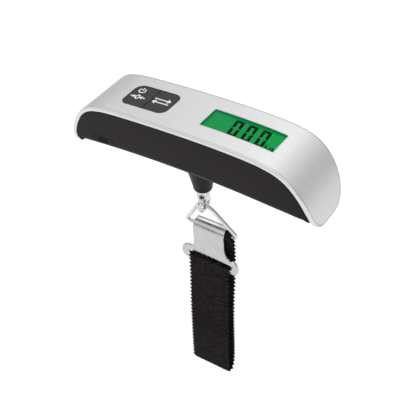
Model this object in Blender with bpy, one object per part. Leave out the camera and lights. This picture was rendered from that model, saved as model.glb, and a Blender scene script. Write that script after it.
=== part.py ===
"""Digital luggage scale: arched silver and black housing, two keys, lit display, swivelling hook
stud, link ring, triangle ring, hook plate and folded webbing strap. Every named object is one piece.

Frame: +X along the housing, -Y the front, +Z up, origin on the hook axis at the underside.
Lengths below are in millimetres and are turned into metres when a mesh is made."""
import math

import bmesh
import bpy
import numpy as np

MM = 0.001

# housing
DEPTH = 34.5            # front to back
BAND = 2.3              # silver rim seen above the black tub
SEAM = 0.2              # rim to tub
RECESS = 0.75           # pocket for the brushed sheet
SHEET = 0.5             # brushed sheet thickness
SHEET_EDGE = 1.0        # sheet edge to rim edge
WALL = 2.0              # tub wall and floor
FILLET = 3.5            # rounded lower edges of the tub
ARCH = 3.35             # rise of the underside between its ends
ARCH_HALF = 67.0
ARCH_X = 1.0
CHIN_X, CHIN = 56.0, 1.6  # where the underside starts to dip under the nose, and its drop in 12 mm
TONGUE = 48.0           # length over which the cover narrows to its rounded right end
TAIL_R = 3.0            # corner radius of the cover's left end
# outer top line of the housing from its left foot over the crown to its right foot
TOP_LINE = [(-64.6, -4.3), (-65.9, -2.9), (-66.7, -0.9), (-66.9, 1.6), (-66.3, 4.6), (-64.2, 9.8),
            (-60.6, 15.4), (-55.2, 19.6), (-48.0, 21.8), (-40.0, 22.8), (-28.0, 23.5), (-12.0, 24.1),
            (4.0, 24.4), (18.0, 24.4), (31.0, 24.0), (40.2, 23.4), (46.3, 22.55), (52.2, 21.0),
            (57.6, 18.1), (62.0, 13.9), (65.5, 8.9), (68.1, 3.3), (69.9, -2.6), (71.0, -7.6),
            (71.5, -10.6)]

# openings in the sheet and rim
LCD_X0, LCD_X1, LCD_HALF, LCD_R = 5.5, 45.3, 7.3, 0.7
PAD_X0, PAD_X1, PAD_HALF, PAD_R = -40.9, -13.9, 8.95, 4.6
KEY_SEAM = 0.4
KEY_GAP = 0.3
KEY_TRAVEL = 0.5

# electronics
BOARD_Z0, BOARD_Z1 = 13.0, 14.2
BOARD_X0, BOARD_X1, BOARD_HALF = -46.0, 49.5, 12.8
LCD_TILT = math.radians(2.73)
LCD_MID = (25.5, 20.55)  # middle of the lower glass plate's top face
UPPER_PLATE = 2.1        # upper glass plate and polariser, standing in the display opening
BATTERY = (-38.0, 0.0, 10.0, 3.2)
BATTERY_Z = 4.0
SWITCHES = (-34.0, -20.8)
PLUNGER_TOP = 18.2
POSTS = [(-58.3, -8.5), (-58.3, 8.5), (55.2, -8.5), (55.2, 8.5)]

# load path
BEAM = (-7.0, 42.0, 6.0, 3.4, 8.8)      # x0, x1, half width, z0, z1
STUD_R = 2.5
EYE_Z, EYE_R, EYE_HALF = -27.2, 3.1, 1.7
WIRE_R = 1.15
RING_R, RING_Z = 4.45, -31.15
APEX_Z = -33.0
BAR_Y, BAR_Z = 5.5, -53.75
APEX_R, CORNER_R = 6.0, 1.8
LEG = math.radians(32)  # lean of the triangle's legs
WEB_HALF, WEB_T = 12.5, 1.4
PLATE_HALF, PLATE_T = 9.65, 1.2
HOOK_R = 3.1            # inside radius of the rolled hook
FRAME_HALF = 18.0
SLOT_HALF, SLOT_TOP, SLOT_LOW, FRAME_LOW = 13.3, -71.6, -74.6, -78.0

for thing in list(bpy.data.objects):
    bpy.data.objects.remove(thing, do_unlink=True)


def material(name, colour, metallic=0.0, roughness=0.5):
    mat = bpy.data.materials.new(name)
    mat.use_nodes = True
    shader = mat.node_tree.nodes["Principled BSDF"]
    shader.inputs["Base Color"].default_value = (*colour, 1.0)
    shader.inputs["Metallic"].default_value = metallic
    shader.inputs["Roughness"].default_value = roughness
    mat.diffuse_color = (*colour, 1.0)
    return mat


def make(name, verts, faces, look, smooth=False):
    """One mesh object in metres with its own material and outward faces."""
    mesh = bpy.data.meshes.new(name)
    mesh.from_pydata([tuple(float(c) * MM for c in v) for v in verts], [], faces)
    tidy = bmesh.new()
    tidy.from_mesh(mesh)
    bmesh.ops.remove_doubles(tidy, verts=tidy.verts, dist=1e-7)
    bmesh.ops.recalc_face_normals(tidy, faces=tidy.faces)
    tidy.to_mesh(mesh)
    tidy.free()
    obj = bpy.data.objects.new(name, mesh)
    bpy.context.scene.collection.objects.link(obj)
    if look is not None:
        colour, metallic, roughness = look
        obj.data.materials.append(material(name + "_finish", colour, metallic, roughness))
    for face in mesh.polygons:
        face.use_smooth = smooth
    return obj


def boolean(target, tool, operation):
    """Apply an exact boolean and drop the tool."""
    mod = target.modifiers.new("cut", "BOOLEAN")
    mod.operation = operation
    mod.solver = "EXACT"
    mod.object = tool
    depsgraph = bpy.context.evaluated_depsgraph_get()
    result = bpy.data.meshes.new_from_object(target.evaluated_get(depsgraph))
    target.modifiers.clear()
    old = target.data
    name = old.name
    target.data = result
    bpy.data.meshes.remove(old)
    result.name = name
    bpy.data.objects.remove(tool, do_unlink=True)
    clean = bmesh.new()
    clean.from_mesh(result)
    bmesh.ops.remove_doubles(clean, verts=clean.verts, dist=2e-6)
    bmesh.ops.dissolve_degenerate(clean, edges=clean.edges, dist=2e-6)
    clean.to_mesh(result)
    clean.free()
    return target


def cut(target, *tools):
    for tool in tools:
        boolean(target, tool, "DIFFERENCE")
    return target


def join(target, *tools):
    for tool in tools:
        boolean(target, tool, "UNION")
    return target


def rings(loops, closed=False, cap=True):
    """Vertices and faces of a skin through loops of equal length."""
    n = len(loops[0])
    verts = [p for loop in loops for p in loop]
    faces = []
    count = len(loops)
    for i in range(count if closed else count - 1):
        a, b = i * n, ((i + 1) % count) * n
        faces += [(a + j, a + (j + 1) % n, b + (j + 1) % n, b + j) for j in range(n)]
    if cap and not closed:
        faces += [tuple(range(n))[::-1], tuple(range((count - 1) * n, count * n))]
    return verts, faces


def prism(name, outline, z0, z1, look=None):
    loops = [[(x, y, z) for x, y in outline] for z in (z0, z1)]
    return make(name, *rings(loops), look)


def box(name, x0, x1, y0, y1, z0, z1, look=None):
    return prism(name, [(x0, y0), (x1, y0), (x1, y1), (x0, y1)], z0, z1, look)


def circle(cx, cy, r, segments):
    return [(cx + r * math.cos(2 * math.pi * k / segments), cy + r * math.sin(2 * math.pi * k / segments))
            for k in range(segments)]


def cylinder(name, cx, cy, r, z0, z1, look=None, segments=24):
    obj = prism(name, circle(cx, cy, r, segments), z0, z1, look)
    round_sides(obj)
    return obj


def round_sides(obj, limit=math.radians(40)):
    """Smooth shading on the curved faces, flat on the rest."""
    for face in obj.data.polygons:
        face.use_smooth = True
    edges = bmesh.new()
    edges.from_mesh(obj.data)
    for edge in edges.edges:
        edge.smooth = len(edge.link_faces) == 2 and edge.calc_face_angle(0.0) < limit
    edges.to_mesh(obj.data)
    edges.free()


def lathe(name, profile, cx, cy, look=None, segments=32):
    """Turn a closed (radius, z) outline about a vertical axis; radius 0 points close the axis."""
    verts, faces, index = [], [], []
    for r, z in profile:
        if r < 1e-9:
            index.append([len(verts)] * segments)
            verts.append((cx, cy, z))
        else:
            index.append(list(range(len(verts), len(verts) + segments)))
            verts += [(cx + x, cy + y, z) for x, y in circle(0, 0, r, segments)]
    count = len(profile)
    for i in range(count):
        a, b = index[i], index[(i + 1) % count]
        for j in range(segments):
            k = (j + 1) % segments
            quad = []
            for v in (a[j], a[k], b[k], b[j]):
                if v not in quad:
                    quad.append(v)
            if len(quad) > 2:
                faces.append(tuple(quad))
    obj = make(name, verts, faces, look)
    round_sides(obj)
    return obj


def rounded(x0, x1, half, r, steps=5):
    """Rounded rectangle outline centred on y = 0."""
    points = []
    for cx, cy, a in ((x1 - r, half - r, 0), (x0 + r, half - r, 90), (x0 + r, r - half, 180),
                      (x1 - r, r - half, 270)):
        for k in range(steps + 1):
            t = math.radians(a + 90 * k / steps)
            points.append((cx + r * math.cos(t), cy + r * math.sin(t)))
    return points


def catmull(points, steps):
    """Smooth curve through the points."""
    p = [np.array(q, float) for q in points]
    p = [2 * p[0] - p[1]] + p + [2 * p[-1] - p[-2]]
    out = []
    for i in range(1, len(p) - 2):
        for k in range(steps):
            t = k / steps
            out.append(0.5 * (2 * p[i] + (p[i + 1] - p[i - 1]) * t
                              + (2 * p[i - 1] - 5 * p[i] + 4 * p[i + 1] - p[i + 2]) * t * t
                              + (3 * p[i] - p[i - 1] - 3 * p[i + 1] + p[i + 2]) * t ** 3))
    out.append(p[-2])
    return np.array(out)


LINE = catmull(TOP_LINE, 4)
STEP = np.gradient(LINE, axis=0)
STEP /= np.linalg.norm(STEP, axis=1)[:, None]
OUTWARD = np.stack([-STEP[:, 1], STEP[:, 0]], 1)
REACH = np.concatenate([[0], np.cumsum(np.linalg.norm(np.diff(LINE, axis=0), axis=1))])
FULL = float(REACH[-1])


def at(s, offset=0.0):
    """(x, z) at arc length s along the top line, moved along its normal by offset."""
    return tuple(float(np.interp(s, REACH, LINE[:, i] + offset * OUTWARD[:, i])) for i in (0, 1))


def half_width(s, inset=0.0):
    """Half depth of the cover at arc length s: rounded left corners and a tongue at the right."""
    share = 1 - (FULL - inset - s) / (TONGUE - inset)
    width = (DEPTH / 2 - inset) * (1 - min(1.0, max(0.0, share)) ** 3) ** 0.25
    corner = TAIL_R - inset
    over = TAIL_R - s
    if over > 0:
        width -= corner - math.sqrt(max(0.0, corner ** 2 - over ** 2))
    return width


def stations(inset=0.0):
    """Arc lengths at which the cover and the tub are cut into sections."""
    tail = [TAIL_R - (TAIL_R - inset) * math.cos(math.radians(a)) for a in (0, 30, 60)]
    body = list(np.linspace(TAIL_R, FULL - TONGUE, 40))
    nose = [FULL - inset - (TONGUE - inset) * (k / 20) ** 2 for k in range(19, 0, -1)]
    return tail + body + nose


def cover(name, profile, look):
    """Plate bent along the top line; profile lists its edge as (inset, offset), lowest first."""
    loops = []
    for inset, n in profile:
        points = [(*at(s, n), half_width(s, inset)) for s in stations(inset)]
        loops.append([(x, -w, z) for x, z, w in points] + [(x, w, z) for x, z, w in reversed(points)])
    verts, faces = rings(loops, cap=False)
    size = len(loops[0])
    for base in (0, (len(loops) - 1) * size):
        faces += [(base + j, base + j + 1, base + size - 2 - j, base + size - 1 - j)
                  for j in range(size // 2 - 1)]
    return make(name, verts, faces, look)


def top_z(x, offset=0.0):
    """Height of the top line, moved along its normal by offset, above x."""
    pts = LINE + offset * OUTWARD
    keep = [i for i in range(len(pts)) if pts[i][1] > 0.5 or pts[i][0] > 0]
    return float(np.interp(x, pts[keep, 0], pts[keep, 1]))


def under_z(x):
    return -ARCH * ((x - ARCH_X) / ARCH_HALF) ** 2 - CHIN * max(0.0, (x - CHIN_X) / 12) ** 2


def slab(name, x0, x1, half, low, high):
    """Curved slab that follows the top line between two offsets, used to trim lids and keys."""
    xs = np.linspace(x0, x1, 9)
    loops = []
    for x in xs:
        a, b = top_z(x, low), top_z(x, high)
        loops.append([(x, -half, a), (x, -half, b), (x, half, b), (x, half, a)])
    return make(name, *rings(loops), None)


def tub_section(top, foot, half, side=0.0, floor=0.0):
    """Round-bottomed cross-section from (x, z) top down to foot x; side and floor shrink it."""
    x, high = top
    w = half - side
    low = under_z(foot) + floor
    r = max(0.4, min(FILLET - side, (high - low) * 0.45))
    arc = [math.radians(a) for a in (0, 22.5, 45, 67.5, 90)]
    left = [(-w + r - r * math.cos(a), low + r - r * math.sin(a)) for a in arc]
    outline = [(-w, high)] + left + [(-y, z) for y, z in reversed(left)] + [(w, high)]
    return [(foot + (x - foot) * (z - low) / (high - low), y, z) for y, z in outline]


def tub_body():
    """Sections whose tops follow the underside of the rim, fanned out where the rim turns down."""
    loops, foot = [], -63.0
    for s in stations():
        x, z = at(s, -BAND - SEAM)
        if z > under_z(x) + 0.5:
            foot = max(x, foot + 0.3)
            loops.append(tub_section((x, z), foot, half_width(s)))
    return loops


def tub_half(x):
    """Half depth of the tub at x, away from its left end."""
    marks = [s for s in stations() if s > FULL / 2]
    return float(np.interp(x, [at(s, -BAND - SEAM)[0] for s in marks], [half_width(s) for s in marks]))


SILVER = ((0.62, 0.63, 0.64), 0.9, 0.38)
BRUSHED = ((0.78, 0.79, 0.80), 1.0, 0.32)
BLACK = ((0.030, 0.028, 0.027), 0.0, 0.5)
DARK = ((0.022, 0.023, 0.022), 0.0, 0.45)
STEEL = ((0.72, 0.72, 0.73), 1.0, 0.25)
CHROME = ((0.82, 0.82, 0.83), 1.0, 0.12)
BRASS = ((0.72, 0.55, 0.25), 1.0, 0.35)
ALLOY = ((0.66, 0.67, 0.69), 1.0, 0.45)
GREEN = ((0.02, 0.42, 0.16), 0.0, 0.35)
BOARD = ((0.02, 0.16, 0.07), 0.0, 0.5)
CLEAR = ((0.55, 0.75, 0.62), 0.0, 0.08)
MILK = ((0.75, 0.90, 0.78), 0.0, 0.4)
WEB = ((0.018, 0.017, 0.016), 0.0, 0.9)
AMBER = ((0.70, 0.45, 0.12), 0.0, 0.4)

# ---------------------------------------------------------------- silver rim and brushed sheet
upper_frame = cover("upper_frame", [(0, -BAND), (0, -0.35), (0.35, 0)], SILVER)
cut(upper_frame, cover("cutter", [(SHEET_EDGE - 0.3, -RECESS), (SHEET_EDGE - 0.3, 2.0)], None))
join(upper_frame,
     *[cylinder("post", x, y, 2.6, 10.3, top_z(x + math.copysign(2.6, x), -1.3), segments=16)
       for x, y in POSTS],
     *[cylinder("post", -6.5, y, 2.2, BOARD_Z1 + 0.2, 22.8, segments=16) for y in (-10.0, 10.0)])
cut(upper_frame,
    prism("cutter", rounded(LCD_X0, LCD_X1, LCD_HALF, LCD_R, 3), 15, 40),
    prism("cutter", rounded(PAD_X0, PAD_X1, PAD_HALF, PAD_R, 5), 15, 40),
    *[cylinder("cutter", x, y, 1.15, 5, 15.2, segments=12) for x, y in POSTS],
    *[cylinder("cutter", -6.5, y, 1.05, 10, 20.0, segments=12) for y in (-10.0, 10.0)])

face_plate = cover("face_plate", [(SHEET_EDGE, 0.05 - SHEET), (SHEET_EDGE, -0.1), (SHEET_EDGE + 0.15, 0.05)],
                   BRUSHED)
cut(face_plate,
    prism("cutter", rounded(LCD_X0, LCD_X1, LCD_HALF, LCD_R, 3), 15, 40),
    prism("cutter", rounded(PAD_X0, PAD_X1, PAD_HALF, PAD_R, 5), 15, 40))

# ---------------------------------------------------------------- black tub and battery door
DOOR = [(-54.0, 13.0), (-24.0, 13.0), (-24.0, -13.0), (-41.0, -13.0), (-41.0, -20.0),
        (-53.0, -20.0), (-53.0, -13.0), (-54.0, -13.0)]
DOOR_GAP = 0.25
DOOR_HOLE = [(-54.0 - DOOR_GAP, 13.0 + DOOR_GAP), (-24.0 + DOOR_GAP, 13.0 + DOOR_GAP),
             (-24.0 + DOOR_GAP, -13.0 - DOOR_GAP), (-41.0 + DOOR_GAP, -13.0 - DOOR_GAP),
             (-41.0 + DOOR_GAP, -20.0), (-53.0 - DOOR_GAP, -20.0), (-53.0 - DOOR_GAP, -13.0 - DOOR_GAP),
             (-54.0 - DOOR_GAP, -13.0 - DOOR_GAP)]


def tub_shell(name, look, wall):
    shell = make(name, *rings(tub_body()), look)
    hollow = [tub_section((x, 40.0), x, tub_half(x), wall, wall) for x in np.linspace(-60.9, 62.8, 20)]
    return cut(shell, make("cutter", *rings(hollow), None))


body_shell = tub_shell("body_shell", BLACK, WALL)
join(body_shell,
     *[cylinder("post", x, y, 2.7, under_z(x) + 0.8, 10.0, segments=16)
       for x, y in POSTS],
     box("post", 26.5, 42.5, -7.5, 7.5, -0.2, 3.1))
cut(body_shell,
    prism("cutter", DOOR_HOLE, -10, 4.75),
    cylinder("cutter", 0, 0, 3.5, -5, 5, segments=24),
    *[cylinder("cutter", x, y, 1.2, -10, 12, segments=12) for x, y in POSTS],
    *[cylinder("cutter", x, y, 2.3, -10, 1.5, segments=16) for x, y in POSTS],
    *[cylinder("cutter", x, 0, 1.65, 0.9, 12, segments=12) for x in (31.0, 38.0)])

battery_door = tub_shell("battery_door", BLACK, 1.7)
boolean(battery_door, prism("cutter", DOOR, -10, 4.5), "INTERSECT")

# ---------------------------------------------------------------- display stack
lcd_window = slab("lcd_window", LCD_X0 - 3, LCD_X1 + 3, 12, -0.6, -0.1)
boolean(lcd_window, prism("cutter", rounded(LCD_X0 + 0.2, LCD_X1 - 0.2, LCD_HALF - 0.2, 0.6, 3), 15, 40),
        "INTERSECT")
lcd_window.data.materials.append(material("lcd_window_finish", *CLEAR))


def tilted(name, length, half, top, thick, look):
    """Flat slab under the display opening; top is its depth below the glass top face."""
    c, s = math.cos(LCD_TILT), math.sin(LCD_TILT)
    loops = []
    for n in (-top - thick, -top):
        loops.append([(LCD_MID[0] + u * c + n * s, y, LCD_MID[1] - u * s + n * c)
                      for u, y in ((-length / 2, -half), (length / 2, -half),
                                   (length / 2, half), (-length / 2, half))])
    return make(name, *rings(loops), look)


lcd_glass = tilted("lcd_glass", 44.0, 9.5, 0.0, 1.8, GREEN)
join(lcd_glass, tilted("upper_plate", 39.2, LCD_HALF - 0.3, -UPPER_PLATE, UPPER_PLATE + 0.5, None))
lcd_backlight = tilted("lcd_backlight", 41.0, 7.3, 2.05, 2.2, MILK)
lcd_holder = tilted("lcd_holder", 46.6, 10.9, 0.2, 4.2, BLACK)
cut(lcd_holder, tilted("cutter", 44.5, 9.75, -3.0, 12.0, None))
for side, name in ((-1, "zebra_strip_front"), (1, "zebra_strip_back")):
    loops = []
    for x in (6.5, 44.5):
        high = LCD_MID[1] - 2.1 - (x - LCD_MID[0]) * math.tan(LCD_TILT)
        loops.append([(x, side * 7.7, BOARD_Z1 + 0.2), (x, side * 9.3, BOARD_Z1 + 0.2),
                      (x, side * 9.3, high), (x, side * 7.7, high)])
    make(name, *rings(loops), ((0.45, 0.20, 0.18), 0.0, 0.7))

# ---------------------------------------------------------------- keys and switches
mid = (PAD_X0 + PAD_X1) / 2
for name, x0, x1, sx in (("key_power", PAD_X0, mid, SWITCHES[0]), ("key_unit", mid, PAD_X1, SWITCHES[1])):
    key = slab(name, PAD_X0 - 3, PAD_X1 + 3, 12, -4.0, -0.05)
    boolean(key, prism("cutter", rounded(PAD_X0 + KEY_GAP, PAD_X1 - KEY_GAP, PAD_HALF - KEY_GAP,
                                         PAD_R - KEY_GAP, 5), 10, 40), "INTERSECT")
    near, far = x0 + (KEY_SEAM / 2 if x0 == mid else -5), x1 - (KEY_SEAM / 2 if x1 == mid else -5)
    boolean(key, box("cutter", near, far, -15, 15, 10, 40), "INTERSECT")
    edge0, edge1 = (x0 - 1.0 if x0 != mid else near), (x1 + 1.0 if x1 != mid else far)
    join(key, box("flange", edge0, edge1, -9.9, 9.9, 19.2, 20.05),
         cylinder("stem", sx, 0, 2.0, PLUNGER_TOP + KEY_TRAVEL + 0.15, 20.5))
    key.data.materials.append(material(name + "_finish", *DARK))
for i, sx in enumerate(SWITCHES, 1):
    switch = box(f"tact_switch_{i}", sx - 3, sx + 3, -3, 3, BOARD_Z1 + 0.2, 17.6, STEEL)
    join(switch, cylinder("plunger", sx, 0, 1.6, 17.0, PLUNGER_TOP, segments=16))

# ---------------------------------------------------------------- board
main_board = box("main_board", BOARD_X0, BOARD_X1, -BOARD_HALF, BOARD_HALF, BOARD_Z0, BOARD_Z1, BOARD)
cut(main_board, *[cylinder("cutter", -6.5, y, 1.2, 5, 20, segments=12) for y in (-10.0, 10.0)])
lathe("chip_blob", [(0, 12.75), (4.2, 12.75), (4.0, 12.1), (2.6, 11.5), (0, 11.3)], 18.0, 0, DARK, 20)

# ---------------------------------------------------------------- screws
for i, (x, y) in enumerate(POSTS, 1):
    lathe(f"housing_screw_{i}", [(0, -0.3), (1.9, -0.3), (2.0, 0.0), (2.0, 1.2), (1.0, 1.2), (1.0, 14.3),
                                 (0, 14.8)], x, y, STEEL, 16)
for i, y in enumerate((-10.0, 10.0), 1):
    lathe(f"board_screw_{i}", [(0, 11.3), (1.8, 11.3), (1.9, 11.6), (1.9, 12.75), (0.9, 12.75), (0.9, 19.2),
                               (0, 19.6)], -6.5, y, STEEL, 16)
for i, x in enumerate((31.0, 38.0), 1):
    lathe(f"beam_screw_{i}", [(0, 1.2), (1.3, 1.4), (1.5, 1.8), (1.5, 9.1), (2.8, 9.1), (2.8, 10.6),
                              (2.4, 11.1), (0, 11.1)], x, 0, STEEL, 16)

# ---------------------------------------------------------------- load cell
x0, x1, half, z0, z1 = BEAM
load_cell_beam = box("load_cell_beam", x0, x1, -half, half, z0, z1, ALLOY)
mid_z = (z0 + z1) / 2


def through_y(name, cx, cz, r, segments=16):
    """Round cutter along Y."""
    loops = [[(cx + a, y, cz + b) for a, b in circle(0, 0, r, segments)] for y in (-20, 20)]
    return make(name, *rings(loops), None)


cut(load_cell_beam, through_y("cutter", 11.5, mid_z, 1.9), through_y("cutter", 20.5, mid_z, 1.9),
    box("cutter", 11.5, 20.5, -20, 20, mid_z - 0.5, mid_z + 0.5),
    cylinder("cutter", 0, 0, 2.85, 0, 12, segments=24),
    *[cylinder("cutter", x, 0, 1.75, 0, 12, segments=12) for x in (31.0, 38.0)])
box("strain_gauge_top", 13.0, 19.0, -2.2, 2.2, z1 + 0.12, z1 + 0.42, AMBER)
box("strain_gauge_bottom", 13.0, 19.0, -2.2, 2.2, z0 - 0.42, z0 - 0.12, AMBER)
flex = [(18.2, 9.7), (21.5, 9.7), (23.2, 10.2), (23.9, 11.2), (24.0, 12.75)]
loops = []
for k, (x, z) in enumerate(flex):
    a, b = flex[max(k - 1, 0)], flex[min(k + 1, len(flex) - 1)]
    d = math.hypot(b[0] - a[0], b[1] - a[1])
    nx, nz = -(b[1] - a[1]) / d * 0.12, (b[0] - a[0]) / d * 0.12
    loops.append([(x - nx, -1.8, z - nz), (x + nx, -1.8, z + nz), (x + nx, 1.8, z + nz),
                  (x - nx, 1.8, z - nz)])
make("gauge_flex", *rings(loops), AMBER, True)

# ---------------------------------------------------------------- battery
bx, by, br, bt = BATTERY
tray = box("battery_tray", -54.3, -22.4, -14.2, 14.2, 2.2, 9.0, BLACK)
cut(tray, cylinder("cutter", bx, by, br + 0.4, -5, BATTERY_Z + bt + 0.6, segments=32),
    box("cutter", -52.2, -24.0, -5.5, 5.5, -5, 5.0),
    box("cutter", bx - 3.2, bx + 3.2, -1.3, 1.3, 5, 12),
    box("cutter", -49.6, -47.9, -2.6, 2.6, -5, 12))
lathe("coin_cell", [(0, BATTERY_Z), (8.6, BATTERY_Z), (8.9, BATTERY_Z + 0.5), (br - 0.3, BATTERY_Z + 0.6),
                    (br, BATTERY_Z + 0.9), (br, BATTERY_Z + bt - 0.3), (br - 0.3, BATTERY_Z + bt),
                    (0, BATTERY_Z + bt)], bx, by, STEEL, 32)


def bent_strip(name, path, y0, y1, thick, look):
    """Thin metal strip: an (x, z) path given its thickness and carried across y."""
    loops = []
    for k, (x, z) in enumerate(path):
        a, b = path[max(k - 1, 0)], path[min(k + 1, len(path) - 1)]
        d = math.hypot(b[0] - a[0], b[1] - a[1])
        nx, nz = -(b[1] - a[1]) / d * thick / 2, (b[0] - a[0]) / d * thick / 2
        loops.append([(x - nx, y0, z - nz), (x + nx, y0, z + nz), (x + nx, y1, z + nz),
                      (x - nx, y1, z - nz)])
    return make(name, *rings(loops), look)


bent_strip("battery_clip_top", [(bx - 2.6, 7.48), (bx + 1.2, 7.55), (bx + 2.0, 8.0), (bx + 2.2, 9.0),
                                (bx + 2.2, 12.8)], -1.0, 1.0, 0.3, BRASS)
bent_strip("battery_clip_side", [(-48.45, 4.4), (-48.3, 6.0), (-48.6, 7.6), (-48.9, 9.2), (-48.9, 10.6),
                                 (-46.2, 12.0), (-44.0, 12.75)], -2.2, 2.2, 0.3, BRASS)

# ---------------------------------------------------------------- swivel: stud, nut, washer, collar
stud = lathe("hook_stud", [(0, 12.55), (2.2, 12.55), (STUD_R, 12.25), (STUD_R, -23.6), (2.0, -25.4),
                           (0, -25.4)], 0, 0, CHROME, 24)
eye = [(-EYE_R, -23.0)] + [(EYE_R * math.cos(math.radians(a)), EYE_Z + EYE_R * math.sin(math.radians(a)))
                           for a in range(180, 361, 15)] + [(EYE_R, -23.0), (2.4, -22.2), (-2.4, -22.2)]
join(stud, make("eye", *rings([[(x, y, z) for x, z in eye] for y in (-EYE_HALF, EYE_HALF)]), None))
cut(stud, through_y("cutter", 0, RING_Z + RING_R - 0.12, 1.72, 20))
round_sides(stud)
lathe("collar", [(2.8, -0.5), (8.7, -0.5), (9.2, -0.9), (9.1, -1.6), (6.4, -13.2), (5.05, -19.4),
                 (4.75, -20.8), (4.1, -21.5), (3.4, -21.55), (3.4, -19.8), (2.8, -19.3)], 0, 0, BLACK, 32)
lathe("thrust_washer", [(2.8, 9.05), (4.6, 9.05), (4.6, 9.85), (2.8, 9.85)], 0, 0, STEEL, 24)
nut = prism("stud_nut", circle(0, 0, 4.2, 6), 10.1, 12.2, STEEL)
cut(nut, cylinder("cutter", 0, 0, STUD_R + 0.2, 5, 15))


# ---------------------------------------------------------------- link ring and triangle ring
def wire_loop(name, centres, plane_normal, radius, look, sides=12):
    """Closed round wire along a flat closed path."""
    c = np.array(centres, float)
    normal = np.array(plane_normal, float)
    normal /= np.linalg.norm(normal)
    loops = []
    for k in range(len(c)):
        run = c[(k + 1) % len(c)] - c[k - 1]
        run /= np.linalg.norm(run)
        out = np.cross(run, normal)
        loops.append([tuple(c[k] + radius * (math.cos(a) * out + math.sin(a) * normal))
                      for a in (2 * math.pi * j / sides for j in range(sides))])
    return make(name, *rings(loops, closed=True), look, True)


wire_loop("link_ring", [(0, RING_R * math.cos(a), RING_Z + RING_R * math.sin(a))
                        for a in (2 * math.pi * k / 32 for k in range(32))], (1, 0, 0), WIRE_R, CHROME)

lean = math.atan2(BAR_Y, APEX_Z - BAR_Z)
height = math.hypot(BAR_Y, APEX_Z - BAR_Z)
flat = []
for t in np.linspace(LEG - math.pi / 2, math.pi / 2 - LEG, 13):
    flat.append((APEX_R * math.sin(t), APEX_R - APEX_R * math.cos(t)))
corner_x = APEX_R * math.cos(LEG) + (height - APEX_R * (1 - math.sin(LEG))) * math.tan(LEG)
cx, cs = corner_x - CORNER_R / math.tan(math.pi / 4 - LEG / 2), height - CORNER_R
for side in (1, -1):
    arc = np.linspace(-LEG, math.pi / 2, 7)
    points = [(side * (cx + CORNER_R * math.cos(t)), cs + CORNER_R * math.sin(t)) for t in arc]
    flat += points if side == 1 else points[::-1]
wire_loop("triangle_ring", [(u, s * math.sin(lean), APEX_Z - s * math.cos(lean)) for u, s in flat],
          (0, math.cos(lean), math.sin(lean)), WIRE_R, CHROME)


# ---------------------------------------------------------------- webbing
def ribbon(name, path, half, thick, look):
    """Webbing: a (y, z) path given its thickness and carried across x."""
    loops = []
    for k, (y, z) in enumerate(path):
        a, b = path[max(k - 1, 0)], path[min(k + 1, len(path) - 1)]
        d = math.hypot(b[0] - a[0], b[1] - a[1])
        ny, nz = -(b[1] - a[1]) / d * thick / 2, (b[0] - a[0]) / d * thick / 2
        loops.append([(-half, y - ny, z - nz), (-half, y + ny, z + nz), (half, y + ny, z + nz),
                      (half, y - ny, z - nz)])
    return make(name, *rings(loops), look, False)


wrap = WIRE_R + 0.2 + WEB_T / 2
turn = [(BAR_Y - wrap * math.cos(math.radians(a)), BAR_Z + wrap * math.sin(math.radians(a)))
        for a in range(0, 181, 20)]
rear = ([(6.05, -75.0), (6.2, -68.0), (6.1, -62.0), (5.2, -58.6), (3.9, -56.0)] + turn
        + [(7.65, -57.0), (7.75, -62.0), (7.8, -68.0), (7.6, -75.0), (6.5, -86.0), (4.8, -100.0),
           (3.6, -114.0), (3.1, -128.0), (2.7, -141.0), (1.9, -149.0), (0.7, -153.4), (-0.1, -154.8),
           (-1.0, -155.7), (-2.05, -156.0), (-3.0, -155.8), (-3.9, -155.0), (-4.25, -153.6),
           (-4.25, -152.2)])
ribbon("strap_rear", rear, WEB_HALF, WEB_T, WEB)

bar_front, bar_back = BAR_Y - HOOK_R - PLATE_T, BAR_Y - HOOK_R
front_y, back_y = bar_front - 0.3 - WEB_T / 2, bar_back + 0.3 + WEB_T / 2
over_z = SLOT_LOW + 0.3 + WEB_T / 2
front = [(-4.22, -151.8), (-4.0, -143.0), (-3.3, -128.0), (-2.4, -112.0), (-1.3, -98.0), (-0.55, -89.0),
         (-0.15, -82.0), (front_y, -77.6), (front_y, over_z - 0.8), (front_y + 0.45, over_z - 0.2),
         (front_y + 1.1, over_z), (back_y - 1.1, over_z), (back_y - 0.45, over_z - 0.2),
         (back_y, over_z - 0.8), (back_y, -78.4), (2.6, -81.4), (1.7, -85.0), (1.15, -90.0), (0.7, -94.0),
         (0.42, -98.0), (-0.7, -112.0), (-1.53, -127.0)]
ribbon("strap_front", front, WEB_HALF, WEB_T, WEB)

# ---------------------------------------------------------------- hook plate
frame_outline = rounded(-FRAME_HALF, FRAME_HALF, (SLOT_TOP + 3.2 - FRAME_LOW) / 2, 3.0, 5)
frame_mid = (SLOT_TOP + 3.2 + FRAME_LOW) / 2
plate = make("hook_plate", *rings([[(x, y, frame_mid + z) for x, z in frame_outline]
                                   for y in (bar_front, bar_back)]), STEEL)
shoulder = [(-PLATE_HALF - 3.2, SLOT_TOP + 2.6), (-PLATE_HALF - 1.1, SLOT_TOP + 3.6),
            (-PLATE_HALF - 0.2, SLOT_TOP + 6.0), (-PLATE_HALF, SLOT_TOP + 9.0), (-PLATE_HALF, BAR_Z - 0.5),
            (PLATE_HALF, BAR_Z - 0.5), (PLATE_HALF, SLOT_TOP + 9.0), (PLATE_HALF + 0.2, SLOT_TOP + 6.0),
            (PLATE_HALF + 1.1, SLOT_TOP + 3.6), (PLATE_HALF + 3.2, SLOT_TOP + 2.6)]
join(plate, make("web", *rings([[(x, y, z) for x, z in shoulder] for y in (bar_front, bar_back)]), None))
mid_r = HOOK_R + PLATE_T / 2
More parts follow.
